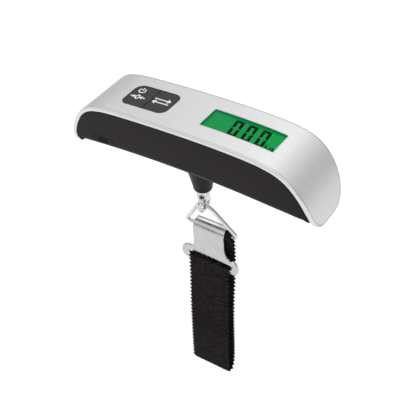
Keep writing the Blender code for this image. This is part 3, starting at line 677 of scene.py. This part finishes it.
def arc(cx, cy, rx, ry, a0, a1, steps=28):
    """Points on an ellipse between two angles in degrees."""
    return [(cx + rx * math.cos(math.radians(a0 + (a1 - a0) * k / steps)),
             cy + ry * math.sin(math.radians(a0 + (a1 - a0) * k / steps))) for k in range(steps + 1)]


def key_top(x, y):
    return top_z(x, -0.05)


def arrow(x, y, length, head):
    """Arrow along X from its tail at x; head is signed like the length."""
    tip, half = x + length, abs(head) * 0.8
    return [[(x, y), (tip, y)], [(tip - head, y + half), (tip, y), (tip - head, y - half)]]


strokes("mark_power", [arc(-35.9, 4.4, 1.75, 1.75, 125, 415), [(-35.9, 4.6), (-35.9, 6.8)]], 0.6,
        key_top, key_ink, "key_power")
strokes("mark_zero", [arc(-34.9, -1.1, 1.0, 1.6, 0, 360), *arrow(-39.3, -1.1, 2.9, 1.2),
                      *arrow(-30.5, -1.1, -2.9, -1.2)], 0.6, key_top, key_ink, "key_power")
strokes("mark_unit", [*arrow(-26.2, 1.7, 9.2, 1.7), *arrow(-16.6, -0.9, -9.2, -1.7)], 0.68,
        key_top, key_ink, "key_unit")


# ================================================================ display
def lcd_point(u, v, n=0.0):
    """Point on the tilted display cell: along it, across it and out of it."""
    c, s = math.cos(LCD_TILT), math.sin(LCD_TILT)
    return (LCD_MID[0] + u * c + n * s, v, LCD_MID[1] - u * s + n * c)


def lcd_slab(name, length, half, low, high):
    return solid(name, *rings([[lcd_point(u, v, n) for u, v in
                                ((-length / 2, -half), (length / 2, -half), (length / 2, half),
                                 (-length / 2, half))] for n in (low, high)]))


cell = gather(lcd_slab("display_cell", 44.0, 9.5, -1.8, 0.0),
              bevel(lcd_slab("upper_plate", 39.2, LCD_HALF - 0.3, 0.02, UPPER_PLATE), 0.08, 1))
finish_piece(cell, lcd_green, "housing", ["lcd_glass"], angle=30)


def lining(outline, low, high):
    """Closed wall standing on an outline seen from above, 0.14 thick towards its middle."""
    pts = np.array(dense(outline))
    run = np.roll(pts, -1, 0) - np.roll(pts, 1, 0)
    run /= np.linalg.norm(run, axis=1)[:, None]
    inner = pts + 0.14 * np.stack([-run[:, 1], run[:, 0]], 1)
    return [[(x, y, top_z(x, n)) for (x, y), n in ((a, low), (a, high), (b, high), (b, low))]
            for a, b in zip(pts, inner)]


inside_opening = rounded(LCD_X0 + 0.03, LCD_X1 - 0.03, LCD_HALF - 0.03, LCD_R)
# painted shade: a lining in a dim green light stands where the window's walls are in shade
shade_lining = solid("display_shade_lining", *rings(lining(inside_opening, -1.6, -0.28), closed=True))
finish_piece(shade_lining, painted_wall_shade, "housing")
xs = np.linspace(LCD_X0 + 0.2, LCD_X1 - 0.2, 24)
window = solid("display_window", *rings([[(x, y, top_z(x, n)) for y, n in
                                          ((-LCD_HALF + 0.2, -0.6), (-LCD_HALF + 0.2, -0.3),
                                           (LCD_HALF - 0.2, -0.3), (LCD_HALF - 0.2, -0.6))] for x in xs]))
finish_piece(window, lens, "housing", ["lcd_window"])
window.visible_shadow = False

DIGIT_W, DIGIT_H, BAR, LEAN = 4.7, 12.1, 1.55, -0.10


def segment(cx, cy, kind):
    """Mitred bar of a seven-segment digit whose lower left corner is at (cx, cy)."""
    w, h, t, g = DIGIT_W, DIGIT_H, BAR, 0.1
    flat = [(g, 0), (t + g, t), (w - t - g, t), (w - g, 0)]
    upright = [(0, g), (0, h / 2 - g), (t, h / 2 - t / 2), (t, t + g)]
    points = {"d": flat, "a": [(x, h - y) for x, y in flat], "e": upright,
              "f": [(x, h - y) for x, y in upright], "c": [(w - x, y) for x, y in upright],
              "b": [(w - x, h - y) for x, y in upright]}[kind]
    return [(cx + x + LEAN * y, cy + y) for x, y in points]


verts, faces = [], []


def add_mark(polygon, height=0.03):
    """Add a printed polygon to the digits, standing on the upper plate."""
    for n in (UPPER_PLATE - 0.02, UPPER_PLATE + height):
        verts.extend(lcd_point(u, v, n) for u, v in polygon)
    k, base = len(polygon), len(verts) - 2 * len(polygon)
    faces.append(tuple(range(base, base + k))[::-1])
    faces.append(tuple(range(base + k, base + 2 * k)))
    faces.extend((base + j, base + (j + 1) % k, base + k + (j + 1) % k, base + k + j) for j in range(k))


DIGITS_X, DIGITS_Y, PITCH = 19.3, -5.9, 7.3
for d in range(3):
    for kind in "abcdef":
        add_mark(segment(DIGITS_X - LCD_MID[0] + d * PITCH, DIGITS_Y, kind))
add_mark([(DIGITS_X - LCD_MID[0] + DIGIT_W + 0.75 + x, DIGITS_Y + y)
          for x, y in ((0, 0), (1.3, 0), (1.2, 1.3), (-0.1, 1.3))])
finish_piece(solid("display_digits", verts, faces), segment_ink, "housing")


def lcd_top(x, y):
    """Height of the display's printed face."""
    return LCD_MID[1] - (x - LCD_MID[0]) * math.tan(LCD_TILT) + UPPER_PLATE


strokes("display_unit", [[(39.6, -5.3), (39.2, -2.5)], [(41.2, -3.4), (39.5, -4.4), (41.4, -5.4)],
                         arc(42.8, -4.4, 0.75, 0.85, 0, 360, 16),
                         [(43.5, -3.6), (43.7, -5.9), (43.1, -6.4), (42.2, -6.2)]], 0.55,
        lcd_top, segment_ink, "housing")

# ================================================================ collar and stud
collar_side = catmull([(9.1, -1.6), (8.3, -5.2), (7.2, -9.8), (6.4, -13.2), (5.75, -16.4),
                       (5.15, -19.3)], 4)
skirt = [(5.15 - 0.75 * (1 - math.cos(t)), -19.3 - 2.2 * math.sin(t))
         for t in (math.radians(90 * k / 8) for k in range(1, 9))]
collar = lathe("collar_cone", [(2.8, -0.5), (8.7, -0.5), (9.0, -0.65), (9.15, -1.0)]
               + [tuple(p) for p in collar_side] + skirt
               + [(3.4, -21.55), (3.4, -19.8), (2.8, -19.3)])
finish_piece(collar, black, "swivel", ["collar"])

eye = [(-EYE_R, -23.0)] + [(EYE_R * math.cos(math.radians(a)), EYE_Z + EYE_R * math.sin(math.radians(a)))
                           for a in range(180, 361, 6)] + [(EYE_R, -23.0), (2.6, -22.3), (-2.6, -22.3)]
stud = lathe("swivel_stud", [(0, 12.55), (2.2, 12.55), (STUD_R, 12.25), (STUD_R, -23.6), (2.0, -25.4),
                             (0, -25.4)])
join(stud, solid("eye", *rings([[(x, y, z) for x, z in eye] for y in (-EYE_HALF, EYE_HALF)])))
cut(stud, through_y("hole", 0, RING_Z + RING_R - 0.12, 1.72))
bevel(stud, 0.35, 3, 40)
finish_piece(stud, chrome, "swivel", ["hook_stud"])


# ================================================================ rings
def wire_loop(name, centres, plane_normal, radius, sides=24):
    """Closed loop of round wire in one plane."""
    c = np.array(centres, float)
    normal = np.array(plane_normal, float)
    normal /= np.linalg.norm(normal)
    loops = []
    for k in range(len(c)):
        run = c[(k + 1) % len(c)] - c[k - 1]
        run /= np.linalg.norm(run)
        out = np.cross(run, normal)
        loops.append([tuple(c[k] + radius * (math.cos(a) * out + math.sin(a) * normal))
                      for a in (2 * math.pi * j / sides for j in range(sides))])
    return solid(name, *rings(loops, closed=True))


ring = wire_loop("round_link", [(0, RING_R * math.cos(a), RING_Z + RING_R * math.sin(a))
                                for a in (2 * math.pi * k / 80 for k in range(80))], (1, 0, 0), WIRE_R)
finish_piece(ring, chrome, "link_ring", ["link_ring"])

lean = math.atan2(BAR_Y, APEX_Z - BAR_Z)
height = math.hypot(BAR_Y, APEX_Z - BAR_Z)
flat = [(APEX_R * math.sin(t), APEX_R - APEX_R * math.cos(t))
        for t in np.linspace(LEG - math.pi / 2, math.pi / 2 - LEG, 25)]
corner_x = APEX_R * math.cos(LEG) + (height - APEX_R * (1 - math.sin(LEG))) * math.tan(LEG)
cx, cs = corner_x - CORNER_R / math.tan(math.pi / 4 - LEG / 2), height - CORNER_R
for side in (1, -1):
    points = [(side * (cx + CORNER_R * math.cos(t)), cs + CORNER_R * math.sin(t))
              for t in np.linspace(-LEG, math.pi / 2, 13)]
    flat += points if side == 1 else points[::-1]
triangle = wire_loop("triangle_link",
                     [(u, s * math.sin(lean), APEX_Z - s * math.cos(lean)) for u, s in flat],
                     (0, math.cos(lean), math.sin(lean)), WIRE_R)
finish_piece(triangle, chrome, "triangle_ring", ["triangle_ring"], angle=60)


# ================================================================ hook plate
def ribbon(name, path, half, thick):
    """Strip of sheet along a (y, z) path."""
    p = np.array(path, float)
    loops = []
    for k in range(len(p)):
        run = p[min(k + 1, len(p) - 1)] - p[max(k - 1, 0)]
        run /= np.linalg.norm(run)
        ny, nz = -run[1] * thick / 2, run[0] * thick / 2
        y, z = p[k]
        loops.append([(-half, y - ny, z - nz), (-half, y + ny, z + nz), (half, y + ny, z + nz),
                      (half, y - ny, z - nz)])
    return solid(name, *rings(loops))


frame_mid = (SLOT_TOP + 3.2 + FRAME_LOW) / 2
bar_outline = rounded(-FRAME_HALF, FRAME_HALF, (SLOT_TOP + 3.2 - FRAME_LOW) / 2, 4.0, 10)
hook = solid("hook_plate_body", *rings([[(x, y, frame_mid + z) for x, z in bar_outline]
                                        for y in (BAR_FRONT, BAR_BACK)]))
sweep = catmull([(PLATE_HALF + 5.2, SLOT_TOP + 2.2), (PLATE_HALF + 2.9, SLOT_TOP + 3.1),
                 (PLATE_HALF + 1.1, SLOT_TOP + 4.2), (PLATE_HALF + 0.25, SLOT_TOP + 6.4),
                 (PLATE_HALF, SLOT_TOP + 9.0)], 4)
neck = [(-x, z) for x, z in sweep] + [(-PLATE_HALF, BAR_Z - 0.5), (PLATE_HALF, BAR_Z - 0.5)] + \
       [(x, z) for x, z in reversed(sweep)]
join(hook, solid("neck", *rings([[(x, y, z) for x, z in neck] for y in (BAR_FRONT, BAR_BACK)])))
mid_r = HOOK_R + PLATE_T / 2
roll = [(BAR_Y - mid_r, BAR_Z - 3.0)]
roll += [(BAR_Y - mid_r * math.cos(math.radians(a)), BAR_Z + mid_r * math.sin(math.radians(a)))
         for a in range(0, 181, 6)]
join(hook, ribbon("roll", roll, PLATE_HALF, PLATE_T))
slot_mid = (SLOT_TOP + SLOT_LOW) / 2
slot_outline = rounded(-SLOT_HALF, SLOT_HALF, (SLOT_TOP - SLOT_LOW) / 2, 0.9, 6)
cut(hook, solid("slot", *rings([[(x, y, slot_mid + z) for x, z in slot_outline] for y in (-5, 10)])))
bevel(hook, 0.26, 3, 40)
finish_piece(hook, pressed, "hook", ["hook_plate"], angle=50)

# ================================================================ webbing
PICK, WARP = 1.9, 1.55          # weft rows along the strap, warp cords across it
LOOP = 2.7                      # pitch of the weft loops along the selvedge
BUMP = 0.30                     # height of the weave
SCALLOP = 1.15                  # weft loops standing out along the selvedge
TUCK = 0.05                     # share by which the hidden tail is narrower
DRAWN_Z, DRAWN = -70.0, 0.2     # above this height the left side is drawn in, by this share
FOOT_Z = -152.0                 # where the front leg leaves the bottom fold


def webbing(name, path, start_s=0.0, tuck_s=1e9):
    """Woven strap along a smooth (y, z) path, with raised cords, a looped selvedge and, past
    tuck_s, a tail drawn in a little so that it lies behind the leg."""
    p = catmull(path, 10)
    reach = np.concatenate([[0], np.cumsum(np.linalg.norm(np.diff(p, axis=0), axis=1))])
    count = int(reach[-1] / 0.32)
    s = np.linspace(0, reach[-1], count + 1)
    line = np.stack([np.interp(s, reach, p[:, i]) for i in (0, 1)], 1)
    run = np.gradient(line, axis=0)
    run /= np.linalg.norm(run, axis=1)[:, None]
    normal = np.stack([-run[:, 1], run[:, 0]], 1)
    across = 64
    u = np.linspace(-1, 1, across + 1)
    x = u * (WEB_HALF - 0.4)
    loops = []
    for k in range(count + 1):
        along = (s[k] + start_s) / PICK
        edge = SCALLOP * math.sin(math.pi * (s[k] + start_s) / LOOP) ** 2
        thin = np.sqrt(np.clip(1 - np.abs(u) ** 18, 0, 1)) * (WEB_T / 2 - BUMP * 0.75)
        cords = np.cos(2 * math.pi * x / (2 * WARP)) * np.cos(math.pi * along * 2)
        ribs = 0.35 * np.cos(2 * math.pi * along * 2)
        rise = BUMP * (0.65 * cords + ribs) * np.clip((1 - np.abs(u)) * 12, 0, 1)
        xs = x + np.sign(u) * np.clip((np.abs(u) - 0.93) / 0.07, 0, 1) * edge
        xs = xs * (1 - TUCK * min(1.0, max(0.0, (s[k] - tuck_s) / 6)))
        y, z = line[k]
        if z > DRAWN_Z:
            xs = np.where(xs < 0, xs * (1 - DRAWN * min(1.0, (z - DRAWN_Z) / 8)), xs)
        ny, nz = normal[k]
        top = [(xs[j], y + ny * (thin[j] + rise[j]), z + nz * (thin[j] + rise[j]))
               for j in range(across + 1)]
        low = [(xs[j], y - ny * (thin[j] - rise[j]), z - nz * (thin[j] - rise[j]))
               for j in range(across - 1, 0, -1)]
        loops.append(top + low)
    return solid(name, *rings(loops)), float(reach[-1])


wrap = WIRE_R + 0.2 + WEB_T / 2
turn = [(BAR_Y - wrap * math.cos(math.radians(a)), BAR_Z + wrap * math.sin(math.radians(a)))
        for a in range(0, 181, 20)]
rear = ([(6.05, -75.0), (6.2, -68.0), (6.1, -62.0), (5.2, -58.6), (3.9, -56.0)] + turn
        + [(7.65, -57.0), (7.75, -62.0), (7.8, -68.0), (7.6, -75.0), (6.5, -86.0), (4.8, -100.0),
           (3.6, -114.0), (3.1, -128.0), (2.7, -141.0), (1.9, -149.0), (0.7, -153.4), (-0.1, -154.8),
           (-1.0, -155.7), (-2.05, -156.0), (-3.0, -155.8), (-3.9, -155.0), (-4.25, -153.6),
           (-4.25, FOOT_Z)])
rear_leg, rear_length = webbing("webbing_rear", rear)
finish_piece(rear_leg, web_black, "strap", ["strap_rear"], angle=70)

front_y, back_y = BAR_FRONT - 0.3 - WEB_T / 2, BAR_BACK + 0.3 + WEB_T / 2
over_z = SLOT_LOW + 0.3 + WEB_T / 2
leg = [(-4.25, FOOT_Z), (-4.0, -143.0), (-3.3, -128.0), (-2.4, -112.0), (-1.3, -98.0), (-0.55, -89.0),
       (-0.15, -82.0), (front_y, -77.6), (front_y, over_z - 0.8), (front_y + 0.45, over_z - 0.2),
       (front_y + 1.1, over_z), (back_y - 1.1, over_z), (back_y - 0.45, over_z - 0.2),
       (back_y, over_z - 0.8), (back_y, -78.4), (2.6, -81.4), (1.7, -85.0), (1.15, -90.0), (0.7, -94.0),
       (0.42, -98.0), (-0.7, -112.0), (-1.53, -127.0)]
front_leg, front_length = webbing("webbing_front", leg, rear_length, 80.0)
finish_piece(front_leg, web_black, None, ["strap_front"], angle=70)
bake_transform(front_leg)


def stitches(name, rows, path, side, reach_x=11.0, pitch=2.1):
    """Rows of lock stitches lying on the outer face of a leg."""
    p = np.array(sorted(catmull(path, 10), key=lambda q: q[1]))
    verts, faces = [], []
    for z_row in rows:
        y = float(np.interp(z_row, p[:, 1], p[:, 0]))
        x = -reach_x
        while x < reach_x:
            loops = []
            for k in range(7):
                t = k / 6
                r = 0.26 * (0.55 + 0.45 * math.sin(math.pi * t))
                cy = y + side * (WEB_T / 2 + 0.02 + 0.12 * math.sin(math.pi * t))
                loops.append([(x + t * (pitch - 0.45), cy + r * math.cos(a), z_row + r * math.sin(a))
                              for a in (2 * math.pi * j / 6 for j in range(6))])
            v, f = rings(loops)
            faces += [tuple(i + len(verts) for i in face) for face in f]
            verts += v
            x += pitch
    return solid(name, verts, faces)


front_rows = stitches("stitching_front", (-116.0, -118.6, -121.2, -123.8, -126.4), leg[:8], -1)
finish_piece(front_rows, thread_black, None, angle=70)
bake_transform(front_rows)
rear_path = rear[len(turn) + 5:-8]
rear_rows = stitches("stitching_rear", (-64.5, -67.0, -71.0, -73.5), rear_path, 1)
finish_piece(rear_rows, thread_black, "strap", angle=70)


# ================================================================ screws and the parts inside
CASE_SCREW = [(0, -0.3), (1.8, -0.3), (2.0, -0.05), (2.0, 1.2), (1.0, 1.2), (1.0, 14.3), (0, 14.8)]
CROSS_LONG, CROSS_WIDE, CROSS_LOW, CROSS_DEEP = 1.25, 0.28, -0.35, 0.7


def case_screw(name, x, y, node):
    """Housing screw with a cross recess in its head, which faces down."""
    obj = lathe(name, CASE_SCREW, x, y, 40)
    for a, b in ((CROSS_LONG, CROSS_WIDE), (CROSS_WIDE, CROSS_LONG)):
        cut(obj, box("recess", x - a, x + a, y - b, y + b, CROSS_LOW, CROSS_LOW + CROSS_DEEP))
    return finish_piece(obj, zinc, "housing", [node])


for i, (x, y) in enumerate(POSTS, 1):
    case_screw(f"case_screw_{i}", x, y, f"housing_screw_{i}")

INSIDE = {"battery_tray": inner_black, "lcd_holder": inner_black, "lcd_backlight": guide,
          "chip_blob": resin, "zebra_strip_front": stripe, "zebra_strip_back": stripe,
          "main_board": board_green,
          "tact_switch_1": nickel, "tact_switch_2": nickel, "load_cell_beam": alloy, "coin_cell": nickel,
          "strain_gauge_top": film, "strain_gauge_bottom": film, "gauge_flex": film,
          "battery_clip_top": brass, "battery_clip_side": brass, "thrust_washer": zinc, "stud_nut": zinc,
          "beam_screw_1": zinc, "beam_screw_2": zinc, "board_screw_1": zinc, "board_screw_2": zinc}
for node, mat in INSIDE.items():
    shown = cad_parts[node]
    shown.data.materials.clear()
    shown.data.materials.append(mat)

# ================================================================ camera, floor and light
def frame_of(x, y, z, place):
    """Matrix from three axes and a place."""
    return Matrix([[*map(float, row)] for row in np.stack([x, y, z, place], 1)] + [[0, 0, 0, 1]])


AZIMUTH, ELEVATION, ROLL = (math.radians(a) for a in (35.88, 40.86, -3.99))
TARGET, DISTANCE, FOCAL = np.array([1.90, 0.0, -33.92]), 468.72, 78.99
away = np.array([math.sin(AZIMUTH) * math.cos(ELEVATION), -math.cos(AZIMUTH) * math.cos(ELEVATION),
                 math.sin(ELEVATION)])
level = np.array([math.cos(AZIMUTH), math.sin(AZIMUTH), 0.0])
upright = np.cross(away, level)
right = math.cos(ROLL) * level + math.sin(ROLL) * upright
up = -math.sin(ROLL) * level + math.cos(ROLL) * upright
place = (TARGET + DISTANCE * away) * MM
camera_data = bpy.data.cameras.new("camera")
camera_data.lens, camera_data.sensor_width = FOCAL, 36.0
camera_data.clip_start, camera_data.clip_end = 0.01, 100.0
camera = bpy.data.objects.new("camera", camera_data)
camera.matrix_world = frame_of(right, up, away, place)
bpy.context.scene.collection.objects.link(camera)
bpy.context.scene.camera = camera
bpy.context.scene.view_settings.view_transform = "Standard"

FLOOR_Z, FLOOR_HALF = -420.0, 6000.0
floor = solid("floor", [(x * FLOOR_HALF, y * FLOOR_HALF, FLOOR_Z)
                        for x, y in ((-1, -1), (1, -1), (1, 1), (-1, 1))], [(0, 1, 2, 3)])
floor.data.materials.append(principled("floor_white", (0.90, 0.90, 0.90), 0.9, Specular_IOR_Level=0.0,
                                       Emission_Color=(1.0, 1.0, 1.0, 1.0), Emission_Strength=0.20))

world = bpy.data.worlds.new("studio")
world.use_nodes = True
bpy.context.scene.world = world
nodes, links = world.node_tree.nodes, world.node_tree.links
coord = nodes.new("ShaderNodeTexCoord")
split = nodes.new("ShaderNodeSeparateXYZ")
ramp = nodes.new("ShaderNodeValToRGB")
ramp.color_ramp.elements[0].color = (0.42, 0.42, 0.43, 1)
ramp.color_ramp.elements[1].color = (1.1, 1.1, 1.1, 1)
for height, grey in ((0.25, 0.48), (0.5, 0.85), (0.72, 1.2)):
    ramp.color_ramp.elements.new(height).color = (grey, grey, grey, 1)
links.new(coord.outputs["Generated"], split.inputs["Vector"])
links.new(split.outputs["Z"], ramp.inputs["Fac"])
links.new(ramp.outputs["Color"], nodes["Background"].inputs["Color"])
nodes["Background"].inputs["Strength"].default_value = 1.0


def softbox(name, place, aim, size, power):
    """Rectangular lamp at a place in metres, turned to its aim."""
    data = bpy.data.lights.new(name, "AREA")
    data.shape, data.size, data.size_y = "RECTANGLE", size[0], size[1]
    data.energy = power
    lamp = bpy.data.objects.new(name, data)
    back = np.array(place, float) - np.array(aim, float)
    back /= np.linalg.norm(back)
    side = np.cross((0, 0, 1), back)
    side /= np.linalg.norm(side)
    lamp.matrix_world = frame_of(side, np.cross(back, side), back, place)
    bpy.context.scene.collection.objects.link(lamp)


softbox("softbox_back", (-0.25, 1.05, 1.35), (0.02, 0, 0), (0.9, 0.6), 2.2)
softbox("softbox_front", (0.9, -1.5, 0.7), (0, 0, -0.03), (1.0, 1.0), 2.0)
softbox("softbox_left", (-1.4, -0.5, 0.6), (0, 0, -0.03), (0.8, 0.8), 1.5)
